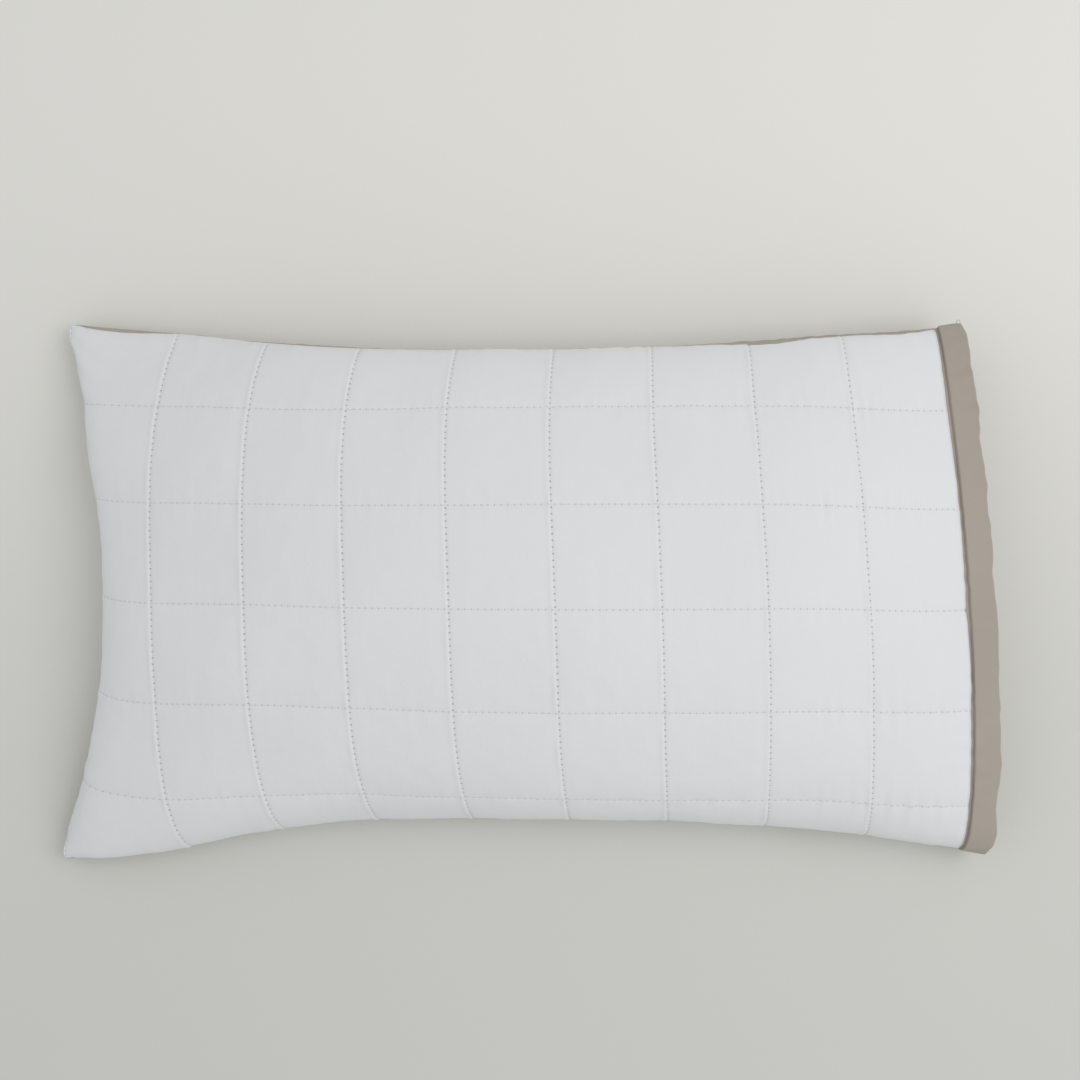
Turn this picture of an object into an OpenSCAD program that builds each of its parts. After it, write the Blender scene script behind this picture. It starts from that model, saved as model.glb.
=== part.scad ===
// Bed pillow: a quilted pillowcase, closed at one end and open at the other, with a filled
// insert inside it. It lies on its back panel. X runs along the length, from the closed end
// (-X) to the mouth (+X), Y runs across the width, and Z = 0 is the surface it rests on.

/* [Case, lying filled] */
// Length from the closed end's corners to the edge of the mouth
case_length = 795; // [600:5:900]
// Width across the corners of the closed end
case_width = 474; // [360:2:560]
// Height of the crown
crown_height = 138; // [100:1:170]
// Height of the side seams at the middle of the length
seam_height = 40; // [28:1:50]
// Height of the seams at the four corners
corner_height = 18; // [12:1:24]
// How far each long side draws in at its middle
side_draw = 34; // [10:1:50]
// How far the closed end draws in at its middle
end_draw = 40; // [10:1:60]
// How much less wide each side of the mouth is than the closed end
mouth_narrowing = 10; // [0:1:20]
// How far the edge of the mouth drops below the crown
mouth_drop = 49; // [30:1:60]

/* [Case, cut flat] */
// Length of the flat case
flat_length = 800; // [600:5:900]
// Width of the flat case
flat_width = 500; // [400:5:600]
// Width of the hem band at the mouth
band_width = 27; // [20:1:40]
// Side of one quilted square
quilt_pitch = 84; // [60:1:90]
// Number of quilting lines that run across the case
cross_lines = 9; // [4:1:9]
// Number of quilting lines that run along the case
long_lines = 5; // [3:1:5]
// Distance from the closed end's seam to the first crosswise line
end_margin = 17; // [10:1:40]
// Distance from the +Y side seam to the first lengthwise line
side_margin = 78; // [40:1:90]

/* [Fabrics and threads] */
// Thickness of the quilted face fabric
face_t = 0.5; // [0.3:0.1:0.8]
// Thickness of the quilting wadding
wadding_t = 3; // [2:0.5:5]
// Thickness of the lining behind the wadding
lining_t = 0.4; // [0.3:0.1:0.8]
// Thickness of the back panel
back_t = 0.6; // [0.4:0.1:1]
// Thickness of the folded hem band
band_t = 1.6; // [1.2:0.1:3]
// Thickness of the insert's ticking
ticking_t = 0.5; // [0.3:0.1:0.8]
// Diameter of the sewing threads
thread_d = 0.6; // [0.4:0.1:1]
// Width of the overlocked seam allowances inside the case
allowance_w = 6; // [4:0.5:8]
// Thickness of the overlocked seam allowances
allowance_t = 1.2; // [0.8:0.1:2]

/* [Insert] */
// Distance from the edge of the mouth to the corners of the insert
insert_gap = 62; // [30:1:90]
// How far the insert's open-side end draws in at its middle
insert_draw = 6; // [2:1:40]
// Distance from the case's outline to the insert's seam
insert_inset = 16; // [15:1:24]
// Clear space between the case's lining and the top of the insert
insert_clearance = 4; // [3:0.5:8]

/* [Hidden] */

white_cotton = [0.90, 0.91, 0.92];
white_thread = [0.82, 0.83, 0.83];
wadding_white = [0.95, 0.95, 0.93];
taupe_cotton = [0.62, 0.57, 0.50];
taupe_thread = [0.50, 0.46, 0.40];
ticking_white = [0.93, 0.93, 0.90];

gap = 0.1;            // between two layers that lie on each other
split = 0.5;          // between the top and bottom halves along a seam
fill_gap = 0.5;       // between the ticking and the fibre fill
crown_s = 0.55;       // where along the length the case is highest
panel_steps = 18;     // steps along the length of a panel
band_steps = 2;       // steps along the length of the hem band
arch_cols = 14;       // steps across the width
thread_sides = 6;
floor_cut = 0.2;      // how far the back reaches below Z = 0 before it is cut flat

// How deep inside the outer surface each layer starts
wadding_in = face_t + gap;
lining_in = wadding_in + wadding_t + gap;
front_in = lining_in + lining_t;
allowance_in = front_in + 0.4;
head_in = front_in + insert_clearance;

band_s = 1 - band_width / case_length;          // where the hem band starts
joint_s = gap / case_length;                    // half the gap beside the hem band
stitch_s = 3 / case_length;                     // from the band's inner edge to its stitches
end_lift = 0.08;                                // length of the insert's rounded closed end
mouth_lift = 0.3;                               // length of its rounded other end
full_height = crown_height - seam_height;
insert_end = case_length / 2 - insert_gap;

function lerp(a, b, k) = a + (b - a) * k;

// A quarter ellipse that rises from 0 at k = 0 to 1 at k = 1
function rise(k) = sqrt(max(0, 1 - pow(1 - min(1, max(0, k)), 2)));

// Outline of the filled case, where s runs from the closed end (0) to the mouth (1) and
// t runs from one side seam (-1) to the other (1)
function half_width(s) =
    case_width / 2 - side_draw * (1 - pow(abs(2 * s - 1), 3)) - mouth_narrowing * s;
function end_x(t) = -case_length / 2 + end_draw * (1 - t * t);
function case_x(s, t, inset) = lerp(end_x(t) + inset, case_length / 2, s);
function case_s(x, t) = (x - end_x(t)) / (case_length / 2 - end_x(t));

// Height of the seam, and of the crown above it, along the length
function seam_z(s) = lerp(corner_height, seam_height, pow(max(0, sin(180 * s)), 0.8));
function crown_z(s) =
    s < crown_s
    ? lerp(corner_height, crown_height, pow(rise(s / crown_s), 0.87))
    : crown_height - mouth_drop * pow((s - crown_s) / (1 - crown_s), 2.3);
function arch(s, inset) = max(0, crown_z(s) - seam_z(s)) * (1 - inset / full_height);

// How far the underside has come down to the surface: 0 at a seam and 1 where it rests
function settle(a, k) = min(1, 1.2 * sqrt(max(0, sin(a)) * k));

// Points of the case's upper and lower surfaces. The angle a goes from 0 to 180 across the
// width, and inset is the depth inside the outer surface.
function upper(s, a, inset) = [
    case_x(s, cos(a), inset),
    -(half_width(s) - inset) * cos(a),
    seam_z(s) + split / 2 + arch(s, inset) * sin(a),
];
function lower(s, a, inset, rest_z) = [
    case_x(s, cos(a), inset),
    -(half_width(s) - inset) * cos(a),
    lerp(seam_z(s) - split / 2, rest_z, settle(a, rise(s / 0.15))),
];

// Points of the insert's upper and lower surfaces, k from its closed-end seam (0) to the other (1)
function insert_x(k, t, inset) =
    lerp(end_x(t) + insert_inset + inset, insert_end - insert_draw * (1 - t * t) - inset, k);
function insert_swell(k) = rise(k / end_lift) * rise((1 - k) / mouth_lift);
function insert_y(s, a, inset) = -(half_width(s) - insert_inset - inset) * cos(a);
function insert_point(k, a, inset, z_of) =
    let (x = insert_x(k, cos(a), inset), s = case_s(x, cos(a)))
    [x, insert_y(s, a, inset), z_of(s)];
function insert_upper(k, a, inset) =
    insert_point(k, a, inset, function (s)
        seam_z(s) + split / 2 + arch(s, head_in + inset) * sin(a) * insert_swell(k));
function insert_lower(k, a, inset) =
    insert_point(k, a, inset, function (s)
        lerp(seam_z(s) - split / 2, back_t + insert_clearance + inset,
             settle(a, insert_swell(k))));

// Steps that are closer together where the surface turns down to a seam
cols = [for (j = [0 : arch_cols]) 180 * j / arch_cols];
inner_cols = [for (j = [1 : arch_cols - 1]) cols[j]];
function rows_between(from, to) =
    [for (i = [0 : panel_steps]) lerp(from, to, 1 - sin(90 * (1 - i / panel_steps)))];
panel_rows = rows_between(0, band_s - joint_s);
band_rows = [for (i = [0 : band_steps]) lerp(band_s + joint_s, 1, i / band_steps)];
insert_rows = [for (i = [0 : panel_steps]) (1 - cos(180 * i / panel_steps)) / 2];

// A closed sheet between two grids of points that have the same rows and columns
module sheet(outer, inner) {
    rows = len(outer);
    per_row = len(outer[0]);
    points = concat([for (row = outer) each row], [for (row = inner) each row]);
    shift = rows * per_row;
    function at(i, j) = i * per_row + j;
    rim = concat(
        [for (j = [0 : per_row - 2]) at(0, j)],
        [for (i = [0 : rows - 2]) at(i, per_row - 1)],
        [for (j = [per_row - 1 : -1 : 1]) at(rows - 1, j)],
        [for (i = [rows - 1 : -1 : 1]) at(i, 0)]);
    count = len(rim);
    polyhedron(points, concat(
        [for (i = [0 : rows - 2], j = [0 : per_row - 2], half = [0, 1])
            half == 0
            ? [at(i, j), at(i, j + 1), at(i + 1, j + 1)]
            : [at(i, j), at(i + 1, j + 1), at(i + 1, j)]],
        [for (i = [0 : rows - 2], j = [0 : per_row - 2], half = [0, 1])
            half == 0
            ? [shift + at(i, j), shift + at(i + 1, j + 1), shift + at(i, j + 1)]
            : [shift + at(i, j), shift + at(i + 1, j), shift + at(i + 1, j + 1)]],
        [for (n = [0 : count - 1], half = [0, 1])
            let (here = rim[n], next = rim[(n + 1) % count])
            half == 0
            ? [here, shift + here, shift + next]
            : [here, shift + next, next]]));
}

// A rod of a given outline, swept through points that each stand on their own plane
module sweep(route, outline) {
    rings = len(route);
    sides = len(outline);
    points = [for (i = [0 : rings - 1]) let (
            ahead = route[min(rings - 1, i + 1)] - route[max(0, i - 1)],
            along = ahead / norm(ahead),
            flat = cross([0, 0, 1], along),
            across = flat / norm(flat),
            up = cross(along, across))
        each [for (p = outline) route[i] + across * p.x + up * p.y]];
    polyhedron(points, concat(
        [[for (n = [0 : sides - 1]) sides - 1 - n]],
        [for (i = [0 : rings - 2], n = [0 : sides - 1], half = [0, 1])
            let (m = (n + 1) % sides, a = i * sides, b = a + sides)
            half == 0 ? [a + n, a + m, b + m] : [a + n, b + m, b + n]],
        [[for (n = [0 : sides - 1]) (rings - 1) * sides + n]]));
}

function round_outline(d) =
    [for (n = [0 : thread_sides - 1]) d / 2 * [cos(360 * n / thread_sides), sin(360 * n / thread_sides)]];
function flat_outline(w, t) = [[-w / 2, -t / 2], [w / 2, -t / 2], [w / 2, t / 2], [-w / 2, t / 2]];

module thread(route) sweep(route, round_outline(thread_d));

module case_upper_layer(from_in, to_in, rows) {
    sheet(
        [for (s = rows) [for (a = cols) upper(s, a, from_in)]],
        [for (s = rows) [for (a = cols) upper(s, a, to_in)]]);
}

module case_lower_layer(thickness, rows) {
    intersection() {
        sheet(
            [for (s = rows) [for (a = cols) lower(s, a, thickness, thickness)]],
            [for (s = rows) [for (a = cols) lower(s, a, 0, -floor_cut)]]);
        translate([-case_length, -case_width, 0])
            cube([2 * case_length, 2 * case_width, crown_height]);
    }
}

// Where a length measured along the flat cloth falls on the crowned surface: a table of
// [share of the arc, place] for each direction, which lookup() reads between its entries
function running(points, n = 0, sum = 0) =
    n == len(points) - 1 ? [sum]
    : concat([sum], running(points, n + 1, sum + norm(points[n + 1] - points[n])));
arc_steps = 60;
across_sums = running([for (i = [0 : arc_steps]) upper(crown_s, 180 * i / arc_steps, 0)]);
along_sums = running([for (i = [0 : arc_steps]) upper(i / arc_steps, 90, 0)]);
across_table = [for (i = [0 : arc_steps]) [across_sums[i] / across_sums[arc_steps], 180 * i / arc_steps]];
along_table = [for (i = [0 : arc_steps]) [along_sums[i] / along_sums[arc_steps], i / arc_steps]];
function angle_at(flat_y) = lookup(flat_y / flat_width, across_table);
function s_at(flat_x) = lookup(flat_x / flat_length, along_table);

// The quilted front: face fabric, wadding and lining, sewn together by the quilting threads
module front_face_fabric()
    color(white_cotton) case_upper_layer(0, face_t, panel_rows);

module front_wadding()
    color(wadding_white) case_upper_layer(wadding_in, wadding_in + wadding_t, panel_rows);

module front_lining()
    color(white_cotton) case_upper_layer(lining_in, front_in, panel_rows);

thread_out = -(thread_d / 2 + 0.6);

module quilting_thread_lengthwise()
    color(white_thread)
    for (n = [0 : long_lines - 1])
        thread([for (s = rows_between(0.01, band_s - 0.01))
            upper(s, 180 - angle_at(side_margin + n * quilt_pitch), thread_out)]);

// The crosswise threads cross over the lengthwise ones
module quilting_thread_crosswise()
    color(white_thread)
    for (n = [0 : cross_lines - 1])
        thread([for (a = inner_cols)
            upper(s_at(end_margin + n * quilt_pitch), a, thread_out - thread_d - 5 * gap)]);

module back_panel() color(taupe_cotton) case_lower_layer(back_t, panel_rows);

module hem_band_front() color(taupe_cotton) case_upper_layer(0, band_t, band_rows);

module hem_band_back() color(taupe_cotton) case_lower_layer(band_t, band_rows);

module hem_stitching_front()
    color(taupe_thread)
    thread([for (a = inner_cols) upper(band_s + stitch_s, a, thread_out)]);

// This row of stitches lies on the inner side of the hem
module hem_stitching_back()
    color(taupe_thread)
    thread([for (a = inner_cols)
        lower(band_s + stitch_s, a, band_t - thread_out, band_t - thread_out)]);

module seam_allowance(route) sweep(route, flat_outline(allowance_w, allowance_t));

module side_seam_overlock()
    color(taupe_thread)
    for (side = [-1, 1])
        seam_allowance([for (s = rows_between(0.03, band_s))
            [case_x(s, 1, 0), side * (half_width(s) - allowance_in - allowance_w / 2), seam_z(s)]]);

module closed_end_seam_overlock()
    color(taupe_thread)
    seam_allowance([for (i = [0 : arch_cols]) let (t = -0.93 + 1.86 * i / arch_cols)
        [end_x(t) + allowance_in + allowance_w / 2, half_width(0) * t, corner_height]]);

module insert_layer(side_point, from_in, to_in) {
    sheet(
        [for (k = insert_rows) [for (a = cols) side_point(k, a, from_in)]],
        [for (k = insert_rows) [for (a = cols) side_point(k, a, to_in)]]);
}

module ticking_top()
    color(ticking_white)
    insert_layer(function (k, a, inset) insert_upper(k, a, inset), 0, ticking_t);

module ticking_bottom()
    color(ticking_white)
    insert_layer(function (k, a, inset) insert_lower(k, a, inset), ticking_t, 0);

function insert_edge(k, a) = let (
        top = insert_upper(k, a, thread_out),
        bottom = insert_lower(k, a, thread_out))
    (top + bottom) / 2;

// The seam round three sides of the insert, and the one that closes it after filling
module ticking_seam_stitching()
    color(white_thread)
    thread(concat(
        [for (i = [0 : panel_steps]) insert_edge(0.98 * (1 - i / panel_steps), 0)],
        [for (i = [1 : arch_cols - 1]) insert_edge(0, 180 * i / arch_cols)],
        [for (i = [0 : panel_steps]) insert_edge(0.98 * i / panel_steps, 180)]));

module closing_seam_stitching()
    color(white_thread)
    thread([for (i = [0 : arch_cols]) insert_edge(1, 6 + 168 * i / arch_cols)]);

module fibre_fill()
    color(wadding_white)
    sheet(
        [for (k = insert_rows) [for (a = cols) insert_upper(k, a, ticking_t + fill_gap)]],
        [for (k = insert_rows) [for (a = cols) insert_lower(k, a, ticking_t + fill_gap)]]);

front_face_fabric();
front_wadding();
front_lining();
quilting_thread_lengthwise();
quilting_thread_crosswise();
back_panel();
hem_band_front();
hem_band_back();
hem_stitching_front();
hem_stitching_back();
side_seam_overlock();
closed_end_seam_overlock();
ticking_top();
ticking_bottom();
ticking_seam_stitching();
closing_seam_stitching();
fibre_fill();
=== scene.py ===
"""Bed pillow: the visual model of a filled insert in a quilted pillowcase.

Every piece of the case lies on a smooth surface, the upper one or the lower one. Both start
as a formula for the filled case and are then relaxed as cloth under pressure. The insert
follows their insides. Places on the cloth are flat coordinates in metres: u runs from the
closed end (0) to the mouth (LENGTH), and v from the +Y side seam (0) to the -Y one (WIDTH).
"""

import bpy
import mathutils
import numpy as np
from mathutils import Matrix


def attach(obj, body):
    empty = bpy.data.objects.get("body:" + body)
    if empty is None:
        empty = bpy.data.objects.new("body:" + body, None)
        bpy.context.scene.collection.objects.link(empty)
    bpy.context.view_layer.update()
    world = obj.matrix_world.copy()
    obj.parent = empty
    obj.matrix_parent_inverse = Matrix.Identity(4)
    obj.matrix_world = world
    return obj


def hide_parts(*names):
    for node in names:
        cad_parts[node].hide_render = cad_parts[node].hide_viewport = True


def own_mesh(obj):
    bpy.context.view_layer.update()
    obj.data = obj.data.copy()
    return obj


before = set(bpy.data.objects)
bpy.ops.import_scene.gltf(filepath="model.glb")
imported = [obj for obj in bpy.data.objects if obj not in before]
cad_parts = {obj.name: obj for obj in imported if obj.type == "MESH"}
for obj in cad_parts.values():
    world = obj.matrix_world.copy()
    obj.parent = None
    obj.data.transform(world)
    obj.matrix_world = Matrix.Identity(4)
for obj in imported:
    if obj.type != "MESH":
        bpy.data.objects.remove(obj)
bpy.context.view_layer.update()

MM = 0.001

# The flat case, as in part.scad
LENGTH = 800 * MM
WIDTH = 500 * MM
BAND = 27 * MM
PITCH = 84 * MM
END_MARGIN = 17 * MM
SIDE_MARGIN = 78 * MM
PANEL = LENGTH - BAND
CROSS_LINES = [END_MARGIN + n * PITCH for n in range(9)]
LONG_LINES = [SIDE_MARGIN + n * PITCH for n in range(5)]

# The filled case, seen along its length
CLOSED_X = -356 * MM        # furthest point of the closed end at the middle of the width
MOUTH_X = 391 * MM
CROWN_X = 40 * MM           # where it is highest
CROWN_Z = 138 * MM
SHOULDER_Z = 55 * MM        # height at which the closed end reaches furthest out
END_TUCK = np.radians(16)   # how far round the closed end its seam is tucked under
TUCK_DROP = 130 * MM
MOUTH_DROP = 50 * MM
CLOSED_POWER = 1.2          # fullness of the closed end: 1 is an ellipse
MOUTH_POWER = 2.3           # how late the crown starts to fall towards the mouth

# The filled case, seen along its width
CORNER_Z = 18 * MM
PLUS_SEAM_Z = 50 * MM       # height of the +Y side seam, which is rolled up
PLUS_SEAM_RISE = 7 * MM     # how much higher it is at the mouth
MINUS_SEAM_Z = 12 * MM      # height of the -Y side seam, which is rolled down
WAIST = 200 * MM            # half width where it is narrowest
WAIST_U = 340 * MM
CLOSED_FLARE = 42 * MM      # how much wider each side of the closed end is than the waist
MOUTH_FLARE = 25 * MM
FLARE_POWERS = (2.3, 2.6)   # how late each of these flares starts
CLOSED_DRIFT = 1.5 * MM     # how far the closed end's middle lies towards +Y
DRIFT = 9 * MM              # and the middle of the rest
MOUTH_DRIFT = 4 * MM        # how much less than that at the mouth
LEAN = 11 * MM              # how far the crown lies towards the -Y side
CLOSED_LEAN = 20 * MM       # and how much further near each end
MOUTH_LEAN = 11 * MM
SHOULDER = 0.75             # fullness of the -Y side: 1 is an ellipse, less is squarer
SKEW = 7.5 * MM             # how far each crosswise line leads at the -Y side
MOUTH_SKEW = 13 * MM
CORNER_SKEW = -4 * MM
END_BOW = 22 * MM           # how far its ends lead its middle, at the closed end
MOUTH_BOW = -5 * MM
CORNER_REACH = 80 * MM      # how far the closed end's corners stand out beyond its middle
CORNER_LENGTH = 56 * MM     # and over what length they do
MIDDLE_LAG = 3.5 * MM       # how far the middle squares lie towards the closed end
PLUS_WALL = 70 * MM         # cloth of the back between the +Y seam and the floor
PLUS_FOOT = 42 * MM         # how far inside that seam it meets the floor
MINUS_WALL = 28 * MM
MINUS_FOOT = 20 * MM

CASE_CORNERS = (46 * MM, 9 * MM)  # radius of the corners at the closed end and at the mouth
INSERT_CORNERS = (28 * MM, 28 * MM)
CORNER_DRAW = 10 * MM       # how far the pull that joins both cloths there reaches inwards

FACE_T = 0.5 * MM
WADDING_T = 2.6 * MM
LINING_T = 0.4 * MM
BACK_T = 0.6 * MM
HEM_T = 0.6 * MM
TICKING_T = 0.5 * MM
LAYER_GAP = 0.1 * MM
FRONT_T = FACE_T + WADDING_T + LINING_T + 9 * LAYER_GAP  # with room for the relief
HEM_SEAM = 2.8 * MM         # from the edge of the white cloth to the hem's stitching
SEAM_LAP = 5 * MM           # how far the wadding and lining stop short of the face's edges
EDGE_LAP = 2 * MM           # how far the back cloth's edge goes under the face
STITCH = 5.3 * MM
THREAD = 0.5 * MM


def lerp(a, b, k):
    return a + (b - a) * k


def rise(k):
    """A quarter ellipse that rises from 0 at k = 0 to 1 at k = 1."""
    return np.sqrt(np.clip(1 - (1 - np.clip(k, 0, 1)) ** 2, 0, 1))


def smooth(k):
    k = np.clip(k, 0, 1)
    return k * k * (3 - 2 * k)


def bump(distance, width):
    return np.exp(-((distance / width) ** 2))


def run_along(x, y):
    """The length of a line of points up to each of them."""
    return np.concatenate([[0], np.cumsum(np.hypot(np.diff(x), np.diff(y)))])


def add_object(name, data):
    made = bpy.data.objects.new(name, data)
    bpy.context.scene.collection.objects.link(made)
    return made


# -------- shape of the filled case


def middle_line():
    """x and height along the middle of the case, at each flat u of a fine table."""
    angle = np.linspace(-END_TUCK, np.pi / 2, 200)
    reach = CROWN_X - CLOSED_X
    up = np.sin(np.maximum(angle, 0)) ** CLOSED_POWER
    down = np.sin(np.minimum(angle, 0))
    closed_x = CROWN_X - reach * np.cos(angle)
    closed_z = SHOULDER_Z + (CROWN_Z - SHOULDER_Z) * up + TUCK_DROP * down
    k = np.linspace(0.01, 1, 150)
    open_x = lerp(CROWN_X, MOUTH_X, k)
    open_z = CROWN_Z - MOUTH_DROP * k**MOUTH_POWER
    x = np.concatenate([closed_x, open_x])
    z = np.concatenate([closed_z, open_z])
    run = run_along(x, z)
    return run / run[-1] * LENGTH, x, z


def half_width(u):
    closed = np.clip(1 - u / WAIST_U, 0, 1) ** FLARE_POWERS[0]
    mouth = np.clip((u - WAIST_U) / (LENGTH - WAIST_U), 0, 1) ** FLARE_POWERS[1]
    return WAIST + CLOSED_FLARE * closed + MOUTH_FLARE * mouth


def side_drift(u):
    """How far the middle of the case lies towards +Y."""
    closed = lerp(CLOSED_DRIFT, DRIFT, smooth(u / (150 * MM)))
    return closed - MOUTH_DRIFT * smooth((u - 650 * MM) / (150 * MM))


def lean(u):
    """How far the crown leans over towards the -Y side."""
    closed = CLOSED_LEAN * bump(u - 100 * MM, 75 * MM)
    mouth = MOUTH_LEAN * smooth((u - 600 * MM) / (150 * MM))
    return (LEAN + closed + mouth) * smooth(u / (60 * MM))


def seam_heights(u):
    """Heights of the +Y and -Y side seams."""
    plus = lerp(CORNER_Z, PLUS_SEAM_Z, smooth(u / (270 * MM))) + PLUS_SEAM_RISE * u / LENGTH
    return plus, lerp(CORNER_Z, MINUS_SEAM_Z, smooth(u / (80 * MM)))


def lengthwise_drift(u, t):
    """How far a point leads its place on the middle line. t is 1 at +Y and -1 at -Y."""
    corner = np.exp(-((u / CORNER_LENGTH) ** 2))
    bow = lerp(END_BOW * t**4, MOUTH_BOW * t * t, u / LENGTH) - CORNER_REACH * corner * t * t
    skew = lerp(SKEW, MOUTH_SKEW, smooth((u - 550 * MM) / (200 * MM)))
    skew = lerp(skew, CORNER_SKEW, corner)
    lag = MIDDLE_LAG * np.sin(np.pi * np.clip(u / PANEL, 0, 1))
    return bow - skew * t - lag


def case_top(us, vs):
    """Points of the upper cloth of the case, one row for each u."""
    flat_u, line_x, line_z = middle_line()
    angle = np.linspace(0, np.pi, 160)
    rows = []
    for u in us:
        crown = np.interp(u, flat_u, line_z)
        plus, minus = (min(crown, height) for height in seam_heights(u))
        t = np.cos(angle)
        base = lerp(minus, plus, (1 + t) / 2)
        over = np.clip(np.sin(angle), 0, 1) ** lerp(SHOULDER, 1, (1 + t) / 2)
        z = base + (crown - base) * over
        y = half_width(u) * t - lean(u) * over + side_drift(u)
        run = run_along(y, z)
        share = vs / WIDTH * run[-1]
        t = np.interp(share, run, t)
        x = np.interp(u, flat_u, line_x) + lengthwise_drift(u, t)
        rows.append(np.stack([x, np.interp(share, run, y), np.interp(share, run, z)], -1))
    return np.array(rows)


def case_bottom(us, vs, top):
    """Points of the lower cloth, which comes down from both seams and rests on the floor."""
    plus, minus = top[:, :1], top[:, -1:]
    out = lerp(plus, minus, (vs / WIDTH)[:, None])
    plus_turn = np.clip(vs / PLUS_WALL, 0, 1) * np.pi / 2
    minus_turn = np.clip((WIDTH - vs) / MINUS_WALL, 0, 1) * np.pi / 2
    near = plus[..., 1] - PLUS_FOOT * (1 - np.cos(plus_turn)) + 2 * MM * np.sin(2 * plus_turn)
    far = minus[..., 1] + MINUS_FOOT * (1 - np.cos(minus_turn))
    share = np.clip((vs - PLUS_WALL) / (WIDTH - PLUS_WALL - MINUS_WALL), 0, 1)
    shape_y = lerp(near, far, share)
    shape_z = plus[..., 2] * (1 - np.sin(plus_turn)) + minus[..., 2] * (1 - np.sin(minus_turn))
    shape_z = np.maximum(shape_z, 1 * MM)
    from_end = rise(us / (75 * MM))[:, None]
    end = top[:1] - out[:1]
    out = out + end * np.exp(-us / (60 * MM))[:, None, None]
    out[..., 1] = lerp(out[..., 1], shape_y, from_end)
    out[..., 2] = lerp(out[..., 2], shape_z, from_end)
    return out


# -------- cloth

CLOTH_SETTINGS = {
    "quality": 6,
    "mass": 0.1,
    "tension_stiffness": 40,
    "compression_stiffness": 20,
    "shear_stiffness": 8,
    "bending_stiffness": 1,
    "air_damping": 2,
    "use_pressure": True,
    "vertex_group_mass": "hold",
    "pin_stiffness": 50,
}


class Cloth:
    """The two cloths of a case or an insert as grids, which share the vertices of their seams."""

    def __init__(self, us, vs, top, bottom, open_mouth):
        self.us, self.vs = us, vs
        rows, cols = len(us), len(vs)
        self.top_index = np.arange(rows * cols).reshape(rows, cols)
        self.bottom_index = self.top_index.copy()
        last = rows if open_mouth else rows - 1
        free = np.zeros((rows, cols), bool)
        free[1:last, 1:-1] = True
        self.free = free
        self.bottom_index[free] = rows * cols + np.arange(free.sum())
        flat = np.stack(np.meshgrid(us, vs, indexing="ij"), -1)
        self.points = np.concatenate([top.reshape(-1, 3), bottom[free]])
        self.flat = np.concatenate([flat.reshape(-1, 2), flat[free]])
        self.cap = self.mouth_cap(top, bottom) if open_mouth else None

    def mouth_cap(self, top, bottom):
        """A membrane that stands in for the insert and the air, and holds the mouth open."""
        steps = 10
        rest = 100 * MM * np.sin(np.pi * self.vs / WIDTH) ** 0.7
        rows = [self.top_index[-1]]
        count = len(self.points)
        for n in range(1, steps):
            k = n / steps
            row = self.top_index[-1].copy()
            row[1:-1] = count + np.arange(len(row) - 2)
            count += len(row) - 2
            rows.append(row)
            self.points = np.concatenate([self.points, lerp(top[-1, 1:-1], bottom[-1, 1:-1], k)])
            hang = LENGTH + rest[1:-1] * min(k, 1 - k)
            self.flat = np.concatenate([self.flat, np.stack([hang, self.vs[1:-1]], -1)])
        rows.append(self.bottom_index[-1])
        return np.array(rows)

    def faces(self):
        grids = [(self.top_index, True), (self.bottom_index, False)]
        if self.cap is not None:
            grids.append((self.cap, True))
        found = []
        for grid, flip in grids:
            for quad in grid_quads(grid, flip):
                corners = list(dict.fromkeys(int(n) for n in quad))
                if len(corners) > 2:
                    found.append(corners)
        return found

    def relax(self, hold, pressure, frames):
        """Lets the cloth settle to its flat size under pressure. hold is how firmly each
        point keeps its place, from 0 to 1."""
        mesh = bpy.data.meshes.new("cloth_work")
        mesh.from_pydata(self.points.tolist(), [], self.faces())
        work = add_object("cloth_work", mesh)
        work.shape_key_add(name="Basis")
        rest = work.shape_key_add(name="flat")
        flat = np.pad(self.flat, ((0, 0), (0, 1)))
        rest.data.foreach_set("co", flat.astype(np.float32).ravel())
        rest.value = 0
        group = work.vertex_groups.new(name="hold")
        for n in np.flatnonzero(hold > 0):
            group.add([int(n)], float(hold[n]), "REPLACE")
        bpy.ops.mesh.primitive_plane_add(size=4)
        ground = bpy.context.object
        ground.modifiers.new("ground", "COLLISION")
        ground.collision.thickness_outer = 0.001
        ground.collision.cloth_friction = 20
        cloth = work.modifiers.new("cloth", "CLOTH")
        for setting, value in CLOTH_SETTINGS.items():
            setattr(cloth.settings, setting, value)
        cloth.settings.rest_shape_key = rest
        cloth.settings.uniform_pressure_force = pressure
        cloth.settings.effector_weights.gravity = 0
        cloth.collision_settings.distance_min = 0.001
        cloth.point_cache.frame_start = 1
        cloth.point_cache.frame_end = frames
        scene = bpy.context.scene
        for number in range(1, frames + 1):
            scene.frame_set(number)
        shaped = work.evaluated_get(bpy.context.evaluated_depsgraph_get())
        moved = np.zeros(len(self.points) * 3, np.float32)
        shaped.data.vertices.foreach_get("co", moved)
        self.points = moved.reshape(-1, 3).astype(float)
        scene.frame_set(1)
        bpy.data.objects.remove(work)
        bpy.data.objects.remove(ground)

    def surfaces(self, corners):
        above = Surface(self.us, self.vs, self.points[self.top_index], 1, corners)
        below = Surface(self.us, self.vs, self.points[self.bottom_index], -1, corners)
        above.partner, below.partner = below, above
        return above, below


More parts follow.
